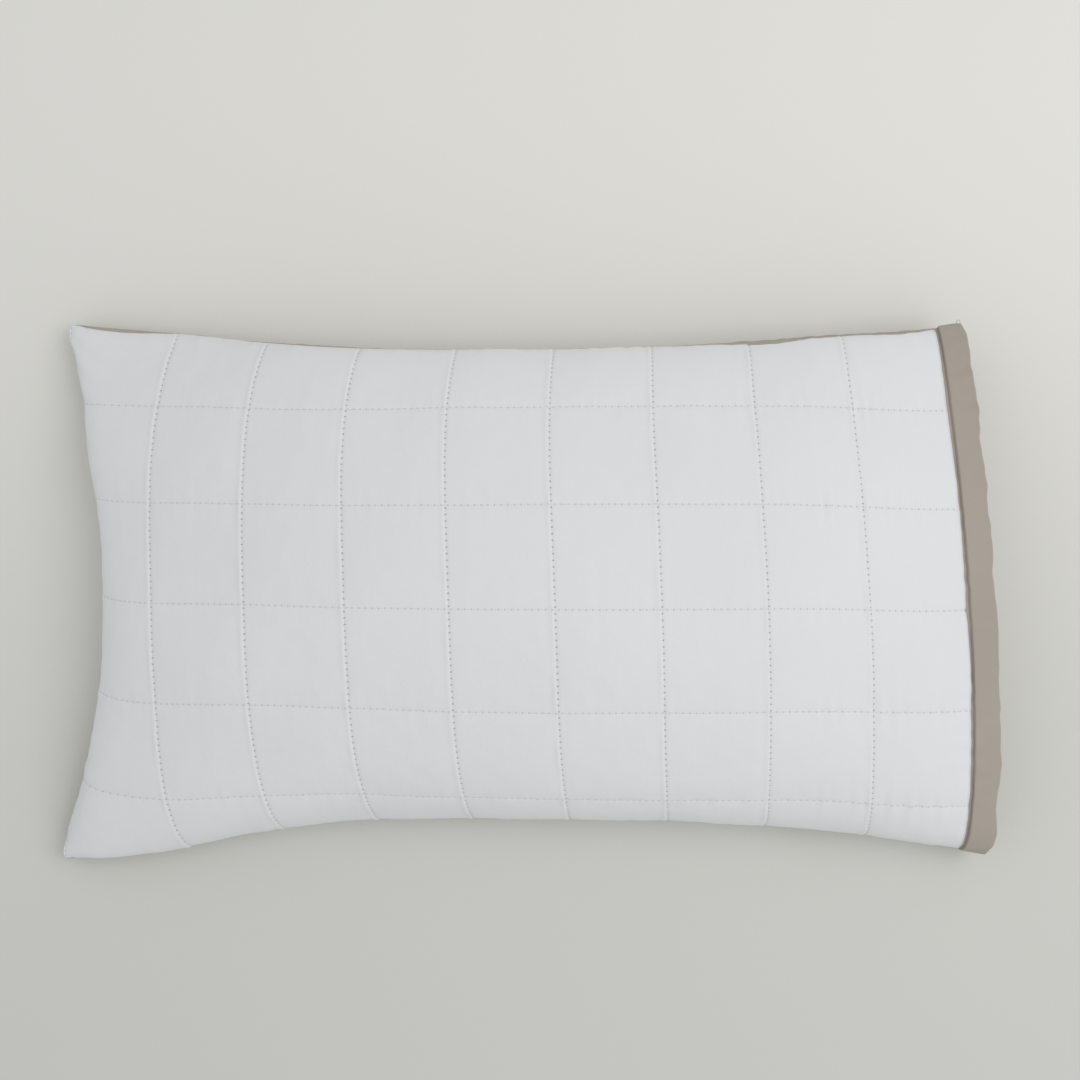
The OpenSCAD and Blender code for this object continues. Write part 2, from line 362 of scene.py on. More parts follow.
class Surface:
    """A smooth surface through an even grid of points. side is 1 if it faces up. corners are
    the radii of its corners at the closed end and at the mouth, and partner is the other cloth,
    which it meets on the seams."""

    def __init__(self, us, vs, grid, side, corners):
        self.side = side
        self.corners = corners
        self.u_step, self.v_step = us[1] - us[0], vs[1] - vs[0]
        self.u_ends, self.v_ends = (us[0], us[-1]), (vs[0], vs[-1])
        first, last = 2 * grid[:1] - grid[1:2], 2 * grid[-1:] - grid[-2:-1]
        grid = np.concatenate([first, grid, last])
        first, last = 2 * grid[:, :1] - grid[:, 1:2], 2 * grid[:, -1:] - grid[:, -2:-1]
        self.grid = np.concatenate([first, grid, last], 1)

    def in_corner(self, u, v):
        """How far into its corner each place is along u and v: 0 at the start of the rounding
        and 1 on the seam. Also the corner's radius."""
        closed = u < sum(self.u_ends) / 2
        radius = np.where(closed, *self.corners)
        from_end = np.where(closed, u - self.u_ends[0], self.u_ends[1] - u)
        from_side = np.minimum(v - self.v_ends[0], self.v_ends[1] - v)
        a = np.clip(1 - from_end / radius, 0, 1)
        b = np.clip(1 - from_side / radius, 0, 1)
        return a, b, radius

    def rounded(self, u, v):
        """Moves places near the four corners inwards, onto round corners."""
        a, b, radius = self.in_corner(u, v)
        u_shift = radius * a * (1 - np.sqrt(1 - b * b / 2))
        v_shift = radius * b * (1 - np.sqrt(1 - a * a / 2))
        u_sign = np.where(u < sum(self.u_ends) / 2, 1, -1)
        v_sign = np.where(v < sum(self.v_ends) / 2, 1, -1)
        return u + u_sign * u_shift, v + v_sign * v_shift

    def at(self, u, v):
        """A point of the surface. On the round corners both cloths are drawn together."""
        place = self.rounded(u, v)
        a, b, radius = self.in_corner(u, v)
        drawn = np.exp(-radius * (1 - np.maximum(a, b)) / CORNER_DRAW) * smooth(3 * np.minimum(a, b))
        return lerp(self.plain(*place), self.partner.plain(*place), drawn[..., None] / 2)

    def plain(self, u, v):
        """A point of the surface, without its round corners."""
        i, iw = self.weights((u - self.u_ends[0]) / self.u_step, self.grid.shape[0])
        j, jw = self.weights((v - self.v_ends[0]) / self.v_step, self.grid.shape[1])
        out = 0
        for a in range(4):
            for b in range(4):
                out = out + self.grid[i + a, j + b] * (iw[a] * jw[b])[..., None]
        return out

    @staticmethod
    def weights(place, count):
        """The Catmull-Rom weights of the four grid lines round each place."""
        cell = np.clip(np.floor(place).astype(int), 0, count - 4)
        k = place - cell
        return cell, [
            ((2 - k) * k - 1) * k / 2,
            ((3 * k - 5) * k * k + 2) / 2,
            ((4 - 3 * k) * k + 1) * k / 2,
            (k - 1) * k * k / 2,
        ]

    def normal(self, u, v):
        reach = 3 * MM
        u, v = self.rounded(u, v)
        along = self.plain(u + reach, v) - self.plain(u - reach, v)
        across = self.plain(u, v + reach) - self.plain(u, v - reach)
        out = np.cross(across, along) * self.side
        return out / np.linalg.norm(out, axis=-1, keepdims=True)

    def lifted(self, u, v, height):
        """Points at a height above the surface, or below it where height is negative."""
        height = np.broadcast_to(height, u.shape)
        return self.at(u, v) + self.normal(u, v) * height[..., None]


def simulate_case():
    us = np.linspace(0, LENGTH, 101)
    vs = np.linspace(0, WIDTH, 63)
    top = case_top(us, vs)
    bottom = case_bottom(us, vs, top)
    cloth = Cloth(us, vs, top, bottom, open_mouth=True)
    hold = np.zeros(len(cloth.points))
    edge = np.minimum.reduce([cloth.flat[:, 0], cloth.flat[:, 1], WIDTH - cloth.flat[:, 1]])
    is_top = cloth.top_index.ravel()
    hold[is_top] = lerp(0.4, 0.7, smooth(edge[is_top] / (100 * MM)))
    below = cloth.bottom_index[cloth.free]
    resting = cloth.points[below, 2] < 1.2 * MM
    hold[below[resting]] = 1
    cloth.relax(hold, pressure=2, frames=20)
    return cloth


# -------- meshes


def grid_quads(index, flip):
    corners = [index[:-1, :-1], index[1:, :-1], index[1:, 1:], index[:-1, 1:]]
    quads = np.stack(corners, -1).reshape(-1, 4)
    return quads[:, ::-1] if flip else quads


INSERT_SEAMS = ("ticking_seam_stitching", "closing_seam_stitching")
INSERT_PIECES = ("ticking_top", "ticking_bottom", "fibre_fill", *INSERT_SEAMS)


def add_piece(name, points, quads, material, flat=None):
    """A smooth mesh that stands for the CAD node of that name. flat is each point's place on
    the flat cloth."""
    mesh = bpy.data.meshes.new(name)
    mesh.vertices.add(len(points))
    mesh.vertices.foreach_set("co", np.asarray(points, np.float32).ravel())
    mesh.loops.add(quads.size)
    mesh.loops.foreach_set("vertex_index", quads.astype(np.int32).ravel())
    mesh.polygons.add(len(quads))
    mesh.polygons.foreach_set("loop_start", np.arange(0, quads.size, 4, dtype=np.int32))
    mesh.polygons.foreach_set("use_smooth", np.ones(len(quads), bool))
    mesh.update(calc_edges=True)
    mesh.validate()
    if flat is not None:
        attribute = mesh.attributes.new("flat", "FLOAT_VECTOR", "POINT")
        attribute.data.foreach_set("vector", np.asarray(flat, np.float32).ravel())
    mesh.materials.append(material)
    piece = add_object(name, mesh)
    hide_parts(name)
    if name in INSERT_PIECES:
        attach(piece, "insert")
    else:
        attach(piece, "case")
        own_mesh(piece)
    return piece


def shell(name, outer, inner, u, v, material, side=1):
    """A closed thin sheet between two grids of points that face up (side 1) or down (-1)."""
    rows, cols = outer.shape[:2]
    index = np.arange(rows * cols).reshape(rows, cols)
    shift = rows * cols
    rim = np.concatenate([index[0, :-1], index[:-1, -1], index[-1, :0:-1], index[:0:-1, 0]])
    after = np.roll(rim, -1)
    sides = np.stack([rim, rim + shift, after + shift, after], -1)
    facing = side > 0
    quads = np.concatenate([
        grid_quads(index, facing),
        grid_quads(index + shift, not facing),
        sides[:, ::-1] if facing else sides,
    ])
    points = np.concatenate([outer.reshape(-1, 3), inner.reshape(-1, 3)])
    flat = np.stack([u, v, np.zeros_like(u)], -1).reshape(-1, 3)
    return add_piece(name, points, quads, material, np.concatenate([flat, flat]))


def fine_steps(start, end, step, lines, offsets):
    """Even steps, with closer ones beside each sewing line."""
    near = np.array([line + o for line in lines for o in offsets])
    near = near[(near > start) & (near < end)]
    even = np.linspace(start, end, int(round((end - start) / step)) + 1)
    reach = max(offsets) + step / 2
    clear = [all(abs(e - line) > reach for line in lines) for e in even]
    clear[0] = clear[-1] = True
    return np.unique(np.concatenate([even[clear], near]).round(6))


LINE_OFFSETS = [s * d * MM for d in (0, 0.7, 1.5, 2.5, 4, 6, 8.5) for s in (-1, 1)]


def tube(name, paths, radius, material):
    """Round threads along several paths that have the same number of points. Both ends of a
    thread close to a point."""
    paths = np.asarray(paths)
    count, rings = paths.shape[:2]
    sides = 6
    ahead = np.gradient(paths, axis=1)
    ahead /= np.linalg.norm(ahead, axis=-1, keepdims=True) + 1e-12
    across = np.cross(ahead, [0.12, 0.17, 0.98])
    across /= np.linalg.norm(across, axis=-1, keepdims=True) + 1e-12
    up = np.cross(across, ahead)
    turn = np.arange(sides) * 2 * np.pi / sides
    share = np.linspace(-1, 1, rings)
    thick = radius * np.sqrt(np.clip(1 - np.abs(share) ** 6, 0.02, 1))
    ring = across[:, :, None] * np.cos(turn)[:, None] + up[:, :, None] * np.sin(turn)[:, None]
    points = paths[:, :, None] + ring * thick[:, None, None]
    index = np.arange(count * rings * sides).reshape(count, rings, sides)
    step = np.roll(index, -1, 2)
    quads = np.stack([index[:, :-1], step[:, :-1], step[:, 1:], index[:, 1:]], -1).reshape(-1, 4)
    caps = []
    for end, order in ((0, 1), (-1, -1)):
        ends = index[:, end]
        for n in range(sides // 2 - 1):
            quad = ends[:, [n, n + 1, sides - 2 - n, sides - 1 - n]]
            caps.append(quad[:, ::-order])
    add_piece(name, points.reshape(-1, 3), np.concatenate([quads] + caps), material)


# -------- rolled seams

# Places where a long seam is rolled onto the front, so that the back cloth shows: the u of
# its middle, its half length and how far it comes over, in millimetres
PLUS_ROLLS = [(620, 95, 13), (740, 45, 6), (62, 40, 6)]
MINUS_ROLLS = [(80, 95, 8), (648, 45, 9)]
ROLL_FADE = 20 * MM


def rolled(u, rolls):
    out = 0
    for middle, half, reach in rolls:
        away = np.abs(u - middle * MM) / (half * MM)
        out = out + reach * MM * smooth(1 - away)
    return out * smooth(u / (30 * MM))


def front_place(u, v):
    """Moves places on the front inwards, away from the rolled parts of the long seams."""
    plus = rolled(u, PLUS_ROLLS) * np.exp(-v / ROLL_FADE)
    minus = rolled(u, MINUS_ROLLS) * np.exp(-(WIDTH - v) / ROLL_FADE)
    return u, v + plus - minus


# -------- relief

random = np.random.default_rng(11)


def waves(count, short, long):
    """Random plane waves between two wavelengths, for gentle uneven cloth."""
    angle = random.uniform(0, np.pi, count)
    size = 2 * np.pi / random.uniform(short, long, count)
    phase = random.uniform(0, 2 * np.pi, count)
    return size * np.cos(angle), size * np.sin(angle), phase


def wavy(made, u, v):
    return sum(np.cos(a * u + b * v + phase) for a, b, phase in zip(*made)) / np.sqrt(len(made[0]))


def ripples(count, wavelength):
    """Random waves along one direction, of roughly that wavelength."""
    spread = 0.35
    size = 2 * np.pi / (wavelength * random.uniform(1 - spread, 1 + spread, count))
    return size, random.uniform(0, 2 * np.pi, count)


def rippled(made, x):
    return sum(np.cos(size * x + phase) for size, phase in zip(*made)) / np.sqrt(len(made[0]))


def gathers(made, run, distance, height, reach):
    """Ripples along a seam or sewing line, which die away at a distance from it."""
    return height * rippled(made, run) * np.exp(-distance / reach)


BROAD = waves(14, 70 * MM, 190 * MM)
SMALL = waves(24, 18 * MM, 45 * MM)
LONG_PUCKERS = [ripples(7, 12 * MM) for _ in LONG_LINES]
CROSS_PUCKERS = [ripples(7, 14 * MM) for _ in CROSS_LINES]
RIDGES = [ripples(6, 60 * MM) for _ in CROSS_LINES]
SIDE_GATHERS = [ripples(8, 17 * MM) for _ in range(2)]
END_GATHERS = ripples(8, 20 * MM)
BAND_GATHERS = ripples(8, 22 * MM)

PUFF = 1.0 * MM
PUFF_REACH = 9 * MM
CROSS_GROOVE = 0.5 * MM
LONG_GROOVE = 0.15 * MM
RIDGE = 0.8 * MM            # beside each crosswise line, on its side towards the closed end
RIDGE_AWAY = 2.4 * MM
RIDGE_WIDTH = 1.7 * MM
UNEVEN = 0.75 * MM          # height of the broad waves of the front
SIDE_GATHER = 0.35 * MM
END_GATHER = (0.5 * MM, 20 * MM)  # height and reach

# Creases as (u, v) of each end, their height and their width, all in millimetres
CREASES = [
    (8, 10, 62, 64, 1.3, 5),
    (22, 6, 84, 50, 1.1, 5),
    (4, 34, 70, 92, 0.9, 6),
    (40, 4, 96, 26, 0.9, 5),
    (6, 470, 74, 424, 0.9, 6),
    (10, 492, 60, 470, 0.8, 5),
    (3, 160, 60, 163, 1.0, 5),
    (3, 250, 52, 246, 0.9, 5),
    (3, 335, 58, 329, 0.9, 5),
    (3, 118, 44, 122, 0.6, 5),
    (3, 398, 54, 408, 0.8, 5),
    (120, 3, 132, 40, 0.7, 5),
    (600, 4, 618, 34, 0.7, 5),
    (690, 6, 700, 50, 0.8, 5),
    (716, 8, 744, 60, 0.7, 5),
]


def line_distance(x, lines):
    return np.min([np.abs(x - line) for line in lines], axis=0)


def crease(u, v, u0, v0, u1, v1, height, width):
    along = np.array([u1 - u0, v1 - v0])
    size = np.hypot(*along)
    share = ((u - u0) * along[0] + (v - v0) * along[1]) / size**2
    away = ((v - v0) * along[0] - (u - u0) * along[1]) / size
    fade = smooth(share * 4 + 0.5) * smooth((1 - share) * 2.5)
    return height * bump(away, width) * fade


def from_seams(u, v):
    """0 on the sewn seams and 1 a little way inside them, so that both cloths meet there."""
    return smooth(np.minimum.reduce([u, v, WIDTH - v]) / (8 * MM))


def quilt_relief(u, v):
    """Height of the quilted cloth above its plain surface."""
    along = line_distance(u, CROSS_LINES)
    across = line_distance(v, LONG_LINES)
    side = np.minimum(v, WIDTH - v)
    puff = (1 - np.exp(-along / PUFF_REACH)) * (1 - np.exp(-across / PUFF_REACH))
    puff = puff * smooth(side / (12 * MM)) * smooth(u / (12 * MM))
    height = PUFF * puff - CROSS_GROOVE * bump(along, 1.1 * MM) - LONG_GROOVE * bump(across, 1.2 * MM)
    for line, made in zip(CROSS_LINES, RIDGES):
        tall = RIDGE * (1 + 0.35 * rippled(made, v))
        height += tall * bump(u - line + RIDGE_AWAY, RIDGE_WIDTH)
    height += UNEVEN * wavy(BROAD, u, v) + 0.14 * MM * wavy(SMALL, u, v)
    more_at_mouth = 0.2 + 0.45 * smooth((u - 560 * MM) / (130 * MM))
    for line, made in zip(LONG_LINES, LONG_PUCKERS):
        height += gathers(made, u, np.abs(v - line), more_at_mouth * MM, 11 * MM)
    for line, made in zip(CROSS_LINES, CROSS_PUCKERS):
        height += gathers(made, v, np.abs(u - line), 0.1 * MM, 9 * MM)
    for made, distance in zip(SIDE_GATHERS, (v, WIDTH - v)):
        height += gathers(made, u, distance, SIDE_GATHER, 16 * MM)
    height += gathers(END_GATHERS, v, u, *END_GATHER)
    height += gathers(BAND_GATHERS, v, np.abs(u - PANEL), 0.3 * MM, 22 * MM)
    for numbers in CREASES:
        height += crease(u, v, *(number * MM for number in numbers))
    return height * from_seams(u, v)


def back_relief(u, v):
    side = np.minimum(v, WIDTH - v)
    height = 0.3 * MM * wavy(BROAD, v, u)
    for made in SIDE_GATHERS:
        height += gathers(made, u, side, SIDE_GATHER, 20 * MM)
    height += gathers(END_GATHERS, v, u, *END_GATHER)
    return height * from_seams(u, v)


# -------- materials


HOLE_EDGE = (0.4 * MM, 0.95 * MM)  # where a needle hole's edge starts and ends
WHITE_TONE = (0.80, 0.807, 0.815)
TAUPE_TONE = (0.54, 0.485, 0.42)
# painted shade colour for the hollows between the twill's ribs
TAUPE_RIB_SHADE = (0.38, 0.335, 0.285)
# painted shade: the dark colour laid along the hem's stitched groove
TAUPE_GROOVE_SHADE = (0.2, 0.18, 0.15)


class Nodes:
    """Short calls for building a material's nodes."""

    def __init__(self, name):
        self.material = bpy.data.materials.new(name)
        self.material.use_nodes = True
        self.tree = self.material.node_tree
        self.shader = self.tree.nodes["Principled BSDF"]

    def add(self, kind, **values):
        node = self.tree.nodes.new(kind)
        for key, value in values.items():
            setattr(node, key, value)
        return node

    def link(self, value, socket):
        if isinstance(value, bpy.types.NodeSocket):
            self.tree.links.new(value, socket)
        else:
            socket.default_value = value

    def math(self, operation, a, b=0.0, c=0.0):
        node = self.add("ShaderNodeMath", operation=operation)
        for value, socket in zip((a, b, c), node.inputs):
            self.link(value, socket)
        return node.outputs[0]

    def flat(self):
        """The flat u and v of the cloth, in metres."""
        place = self.add("ShaderNodeAttribute", attribute_name="flat")
        split = self.add("ShaderNodeSeparateXYZ")
        self.link(place.outputs["Vector"], split.inputs[0])
        return split.outputs[0], split.outputs[1]

    def position(self):
        return self.add("ShaderNodeTexCoord").outputs["Object"]

    def noise(self, scale, detail=3.0, stretch=None):
        node = self.add("ShaderNodeTexNoise")
        node.inputs["Scale"].default_value = scale
        node.inputs["Detail"].default_value = detail
        vector = self.position()
        if stretch is not None:
            mapping = self.add("ShaderNodeMapping")
            mapping.inputs["Scale"].default_value = stretch
            self.link(vector, mapping.inputs["Vector"])
            vector = mapping.outputs[0]
        self.link(vector, node.inputs["Vector"])
        return node.outputs["Fac"]

    def remap(self, value, low, high, new_low, new_high):
        node = self.add("ShaderNodeMapRange", interpolation_type="SMOOTHSTEP")
        for number, item in enumerate((value, low, high, new_low, new_high)):
            self.link(item, node.inputs[number])
        return node.outputs[0]

    def mix(self, share, a, b):
        node = self.add("ShaderNodeMix", data_type="RGBA")
        self.link(share, node.inputs[0])
        for value, socket in ((a, node.inputs[6]), (b, node.inputs[7])):
            if isinstance(value, tuple):
                value = (*value, 1.0)
            self.link(value, socket)
        return node.outputs[2]

    def bump(self, height, distance, strength=1.0, after=None):
        node = self.add("ShaderNodeBump")
        node.inputs["Strength"].default_value = strength
        node.inputs["Distance"].default_value = distance
        self.link(height, node.inputs["Height"])
        if after is not None:
            self.link(after, node.inputs["Normal"])
        return node.outputs[0]

    def finish(self, color, normal, roughness, sheen=0.15):
        for socket, value in (
            ("Base Color", color),
            ("Normal", normal),
            ("Roughness", roughness),
            ("Sheen Weight", sheen),
            ("Sheen Roughness", 0.5),
            ("Specular IOR Level", 0.15),
        ):
            self.link(value, self.shader.inputs[socket])
        return self.material


def ribs(nodes, along, spacing):
    return nodes.math("SINE", nodes.math("MULTIPLY", along, 2 * np.pi / spacing))


def weave(nodes, yarn):
    """Height of a plain weave with that yarn spacing: yarns that cross over and under."""
    u, v = nodes.flat()
    return nodes.math("MULTIPLY", ribs(nodes, u, 2 * yarn), ribs(nodes, v, 2 * yarn))


def twill(nodes, spacing):
    """Height of fine diagonal ribs."""
    u, v = nodes.flat()
    along = nodes.math("ADD", u, nodes.math("MULTIPLY", v, 0.8))
    yarn = ribs(nodes, v, spacing * 0.6)
    return nodes.math("MULTIPLY_ADD", yarn, 0.25, ribs(nodes, along, spacing))


def darker(color, share):
    return tuple(c * share for c in color)


def uneven(nodes, color, depth):
    """A colour with faint broad and fine variation."""
    large = nodes.remap(nodes.noise(7), 0.3, 0.7, 0.0, 1.0)
    mixed = nodes.mix(large, darker(color, 1 - depth), color)
    grain = nodes.remap(nodes.noise(420, detail=2.0), 0.3, 0.7, 0.0, depth)
    return nodes.mix(grain, mixed, darker(color, 0.8))


def stitch_holes(nodes):
    """1 in the needle holes of the quilting, and 0 elsewhere."""
    math = nodes.math
    u, v = nodes.flat()

    def row(across, along, first, count):
        place = math("DIVIDE", math("SUBTRACT", across, first), PITCH)
        nearest = math("MINIMUM", math("MAXIMUM", math("ROUND", place), 0), count)
        away = math("MULTIPLY", math("SUBTRACT", place, nearest), PITCH)
        step = math("DIVIDE", along, STITCH)
        between = math("MULTIPLY", math("SUBTRACT", step, math("ROUND", step)), STITCH)
        square = math("MULTIPLY_ADD", between, between, math("MULTIPLY", away, away))
        return nodes.remap(math("SQRT", square), *HOLE_EDGE, 1.0, 0.0)

    crosswise = row(u, v, END_MARGIN, len(CROSS_LINES) - 1)
    lengthwise = row(v, u, SIDE_MARGIN, len(LONG_LINES) - 1)
    return math("MAXIMUM", crosswise, math("MULTIPLY", lengthwise, 0.6))


def white_cotton():
    nodes = Nodes("white_cotton")
    color = uneven(nodes, WHITE_TONE, 0.02)
    holes = stitch_holes(nodes)
    # Painted shade: the needle holes are greyed, as shade inside them.
    color = nodes.mix(nodes.math("MULTIPLY", holes, 0.5), color, (0.3, 0.3, 0.3))
    slubs = nodes.noise(900, stretch=(1, 0.08, 1), detail=2)
    normal = nodes.bump(nodes.noise(55, detail=4), 0.0012, 0.5)
    normal = nodes.bump(weave(nodes, 0.45 * MM), 0.00006, 0.5, normal)
    normal = nodes.bump(slubs, 0.0001, 0.4, normal)
    normal = nodes.bump(nodes.math("MULTIPLY", holes, -1), 0.0006, 0.8, normal)
    return nodes.finish(color, normal, 0.92)


def taupe_cotton():
    nodes = Nodes("taupe_cotton")
    rib = twill(nodes, 1.1 * MM)
    color = uneven(nodes, TAUPE_TONE, 0.06)
    # Painted shade: the cloth is darkened along the hem's stitched groove, HEM_SEAM beyond the white
    # edge, where the groove's shadow falls.
    from_seam = nodes.math("ABSOLUTE", nodes.math("SUBTRACT", nodes.flat()[0], PANEL + HEM_SEAM))
    seam = nodes.remap(from_seam, 0.3 * MM, 1.2 * MM, 0.5, 0.0)
    color = nodes.mix(seam, color, TAUPE_GROOVE_SHADE)
    # Painted shade: the twill's low ribs are darkened, as shade in their hollows.
    color = nodes.mix(nodes.remap(rib, -1.2, 0.2, 0.35, 0.0), color, TAUPE_RIB_SHADE)
    normal = nodes.bump(nodes.noise(70, detail=4), 0.001, 0.5)
    normal = nodes.bump(rib, 0.0002, 0.9, normal)
    return nodes.finish(color, normal, 0.9)


def plain_cotton(name, color, yarn=0.5 * MM):
    nodes = Nodes(name)
    normal = nodes.bump(nodes.noise(80, detail=4), 0.0007, 0.4)
    normal = nodes.bump(weave(nodes, yarn), 0.00008, 0.6, normal)
    return nodes.finish(uneven(nodes, color, 0.04), normal, 0.92)


def fibres(name, color):
    nodes = Nodes(name)
    strands = nodes.noise(260, stretch=(0.25, 1, 1), detail=5)
    tone = nodes.mix(nodes.remap(strands, 0.3, 0.65, 0.0, 1.0), darker(color, 0.82), color)
    normal = nodes.bump(strands, 0.0012, 0.8)
    return nodes.finish(tone, normal, 0.97, sheen=0.3)


def thread(name, color):
    nodes = Nodes(name)
    ply = nodes.noise(2600, stretch=(1, 0.4, 1), detail=1)
    tone = nodes.mix(nodes.remap(ply, 0.35, 0.65, 0.0, 1.0), darker(color, 0.8), color)
    return nodes.finish(tone, nodes.bump(ply, 0.0002, 0.5), 0.6)


# -------- pieces

WHITE = white_cotton()
TAUPE = taupe_cotton()
LINING = plain_cotton("lining_cotton", (0.8, 0.8, 0.77))
TICKING = plain_cotton("ticking_cotton", (0.87, 0.87, 0.84), 0.35 * MM)
WADDING = fibres("wadding", (0.9, 0.9, 0.88))
FIBRE = fibres("fibre_fill", (0.92, 0.92, 0.9))
QUILTING = thread("quilting_thread", (0.78, 0.8, 0.82))
TAUPE_THREAD = thread("taupe_thread", (0.34, 0.3, 0.25))
OVERLOCK = thread("overlock_thread", (0.6, 0.56, 0.5))
TICKING_THREAD = thread("ticking_thread", (0.75, 0.75, 0.72))


def panel_grid(step, offsets, inset=0):
    us = fine_steps(inset, PANEL - inset, step, CROSS_LINES, offsets)
    vs = fine_steps(inset, WIDTH - inset, step, LONG_LINES, offsets)
    return front_place(*np.meshgrid(us, vs, indexing="ij"))


def face_fabric(surface):
    u, v = panel_grid(3 * MM, LINE_OFFSETS)
    normal = surface.normal(u, v)
    outer = surface.at(u, v) + normal * quilt_relief(u, v)[..., None]
    piece = shell("front_face_fabric", outer, outer - normal * FACE_T, u, v, WHITE)


def wadding_and_lining(surfaces):
    """Both thin out where the case is thin, and the wadding also along its sewing lines."""
    surface = surfaces[0]
    u, v = panel_grid(5 * MM, [0, 4 * MM, -4 * MM], SEAM_LAP)
    edge = np.minimum.reduce([v, WIDTH - v, u, PANEL - u])
    sewn = np.minimum(line_distance(u, CROSS_LINES), line_distance(v, LONG_LINES))
    room = np.linalg.norm(surface.at(u, v) - surfaces[1].at(u, v), axis=-1)
    thin = np.clip(0.35 * room / FRONT_T, 0.12, 1)
    loft = lerp(0.35, 1, smooth(np.minimum(sewn, edge) / (12 * MM))) * WADDING_T * thin
    clear = (0.8 * MM + 1.2 * MM * bump(edge, 25 * MM)) * thin
    top = quilt_relief(u, v) - FACE_T - LAYER_GAP - clear
    for name, thick, material, below in (
        ("front_wadding", loft, WADDING, "front_lining"),
        ("front_lining", LINING_T * thin, LINING, "ticking_top"),
    ):
        outer = surface.lifted(u, v, top)
        inner = surface.lifted(u, v, top - thick)
        piece = shell(name, outer, inner, u, v, material)
        top = top - thick - LAYER_GAP


def back_panel(surfaces):
    """The back cloth, which comes over the long seams where they are rolled onto the front."""
    over = np.linspace(1, 0, 9)[:-1]  # 1 on the cloth's edge on the front, 0 on the seam
    across = np.linspace(0, WIDTH, 120)
    vs = np.concatenate([0 * over, across, 0 * over + WIDTH])
    over = np.concatenate([over, 0 * across, over[::-1]])
    u, v = np.meshgrid(np.linspace(0, PANEL, 150), vs, indexing="ij")
    plus = v < WIDTH / 2
    roll = np.where(plus, rolled(u, PLUS_ROLLS), rolled(u, MINUS_ROLLS))
    reach = over * (roll + EDGE_LAP)
    onto_front = np.where(plus, reach, -reach)
    front_v = v + onto_front
    near_seam = np.exp(-np.minimum(v, WIDTH - v) / (8 * MM))
    height = lerp(back_relief(u, v), quilt_relief(u, front_v), near_seam)
    height += 0.12 * roll * np.sin(np.pi * over) - 1.3 * MM * smooth(over * 2.5 - 1.5)
    sides = []
    for depth in (height, height - BACK_T):
        front = surfaces[0].lifted(u, front_v, depth)
        back = surfaces[1].lifted(u, v, depth)
        sides.append(np.where((over > 0)[:, None], front, back))
    outer, inner = sides
    outer[..., 2] = np.maximum(outer[..., 2], 0)
    inner[..., 2] = np.maximum(inner[..., 2], BACK_T)
    piece = shell("back_panel", outer, inner, u, v - onto_front, TAUPE, side=-1)


BAND_WRINKLES = ripples(9, 24 * MM)
BAND_LUMPS = ripples(7, 75 * MM)
BAND_WRINKLE = 0.8 * MM     # height near the mouth
BAND_GATHER = 0.3 * MM      # height near the white cloth
BAND_LUMP = 0.9 * MM        # how far the mouth's edge wanders in and out
FRONT_HEM_PROUD = 0.6 * MM  # height of the middle of each hem above the case's surface
BACK_HEM_PROUD = -1.4 * MM
HEM_RADIUS = 1.1 * MM       # half the height of the folded hem
STRIP_DROP = 2.2 * MM       # how much lower the sewn strip beside the white edge lies
HEM_STITCH = 3 * MM


def hem_drop(reach):
    """How far the hem lies below its full height, at each distance beyond the white edge."""
    under_edge = 0.8 * MM * (1 - smooth(reach / (1.2 * MM)))
    strip = STRIP_DROP * (1 - smooth((reach - 2.4 * MM) / (1.8 * MM)))
    return under_edge + strip + 0.4 * MM * bump(reach - HEM_SEAM, 0.6 * MM)


def hem_profile():
    """The folded strip of a hem, out to the mouth on its inner side and back on its outer
    side: each point's distance beyond the white edge, its height and its cloth's tilt."""
    near = np.arange(-3, 6, 0.6) * MM
    out = np.concatenate([near, np.linspace(6.5 * MM, BAND - HEM_RADIUS, 14)])
    turn = np.linspace(0, np.pi, 9)[1:-1]
    level = np.full(len(out), HEM_RADIUS)
    reach = np.concatenate([out, out[-1] + HEM_RADIUS * np.sin(turn), out[::-1]])
    lift = np.concatenate([-level, -HEM_RADIUS * np.cos(turn), level])
    tilt = np.concatenate([0 * out + np.pi, np.pi - turn, 0 * out])
    return reach, lift[:, None], tilt[:, None]


def hem(name, surface, proud):
    reach, lift, tilt = hem_profile()
    reach, v = np.meshgrid(reach, np.linspace(0, WIDTH, 260), indexing="ij")
    share = np.clip(reach / BAND, 0, 1)
    wrinkle = BAND_WRINKLE * rippled(BAND_WRINKLES, v + 0.35 * reach) * share
    wrinkle = wrinkle + BAND_GATHER * rippled(BAND_GATHERS, v - 0.6 * reach) * (1 - share)
    height = proud + lift + wrinkle - hem_drop(reach)
    u = PANEL + reach + BAND_LUMP * rippled(BAND_LUMPS, v) * share
    normal = surface.normal(u, v)
    along = surface.at(u + MM, v) - surface.at(u - MM, v)
    along /= np.linalg.norm(along, axis=-1, keepdims=True)
    facing = normal * np.cos(tilt)[..., None] + along * np.sin(tilt)[..., None]
    middle = surface.at(u, v) + normal * height[..., None]
    outer = middle + facing * HEM_T / 2
    inner = middle - facing * HEM_T / 2
    for points in (outer, inner):
        points[..., 2] = np.maximum(points[..., 2], 0)
    piece = shell(name, outer, inner, u, v, TAUPE, side=-surface.side)


def stitch_paths(surface, start, end, height, place=lambda u, v: (u, v)):
    """One short thread for each pair of flat places, sunk at its ends."""
    share = np.linspace(0, 1, 5)[None, :]
    u = lerp(start[:, :1], end[:, :1], share)
    v = lerp(start[:, 1:], end[:, 1:], share)
    u, v = place(u, v)
    sink = -0.55 * THREAD * np.abs(2 * share - 1) ** 3
    return surface.lifted(u, v, height(u, v) + sink)


